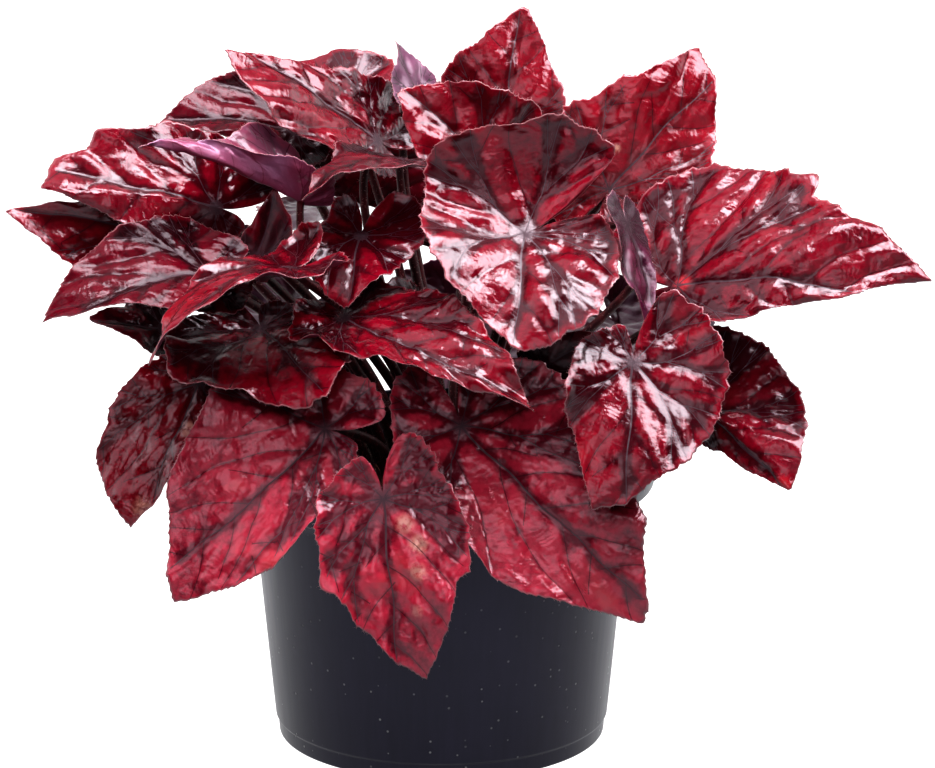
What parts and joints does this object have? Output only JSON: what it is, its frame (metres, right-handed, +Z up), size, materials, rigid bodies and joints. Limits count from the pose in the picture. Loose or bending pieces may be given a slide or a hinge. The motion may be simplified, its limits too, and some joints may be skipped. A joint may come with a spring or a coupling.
{
  "type": "potted rex begonia",
  "caption": "Foliage begonia with a mound of glossy quilted red leaves on hairy stalks, growing from a rhizome in a plain tapered plastic nursery pot.",
  "frame": {"origin": "centre of the pot's flat underside", "axes": "+Z up along the pot's axis; -Y towards the plant's front, where its largest leaves hang over the rim; +X to the right seen from the front"},
  "size_m": [0.3491, 0.2605, 0.2853],
  "materials": {
    "pot": "satin",
    "compost": "matte",
    "rhizome": "matte",
    "leaf_red": "gloss",
    "leaf_rose": "satin",
    "leaf_dark": "gloss",
    "leaf_purple": "satin"
  },
  "bodies": {
    "root": {"pot": "pot", "compost": "compost", "rhizome": "rhizome", "leaf_front_low": "leaf_rose", "leaf_low_left": "leaf_rose", "leaf_bowl": "leaf_red", "leaf_band": "leaf_red", "leaf_mid_small": "leaf_red", "leaf_left_front": "leaf_red", "leaf_wing": "leaf_dark", "leaf_left_dark": "leaf_dark", "leaf_left_lobed": "leaf_red", "leaf_far_left": "leaf_red", "leaf_top_pink": "leaf_red", "leaf_top_back": "leaf_red", "leaf_left_back": "leaf_dark", "leaf_rolled": "leaf_red", "leaf_dark_mid": "leaf_dark", "leaf_top_pale": "leaf_purple", "leaf_crown": "leaf_red", "leaf_behind_crown": "leaf_red", "leaf_centre": "leaf_red", "leaf_top_right": "leaf_red", "leaf_right_big": "leaf_red", "leaf_purple": "leaf_purple", "leaf_right_mid": "leaf_red", "leaf_right_low": "leaf_red", "leaf_low_right": "leaf_rose", "leaf_under_centre": "leaf_dark", "leaf_low_far_left": "leaf_red", "leaf_dark_low": "leaf_dark", "leaf_left_under": "leaf_dark", "leaf_rear_low_left": "leaf_red", "leaf_rear_low": "leaf_red", "leaf_rear_low_right": "leaf_red", "leaf_rear_mid_left": "leaf_red", "leaf_rear_left": "leaf_red", "leaf_rear_right": "leaf_dark", "leaf_rear_mid_right": "leaf_red", "leaf_rear_top": "leaf_dark"}
  },
  "joints": []
}
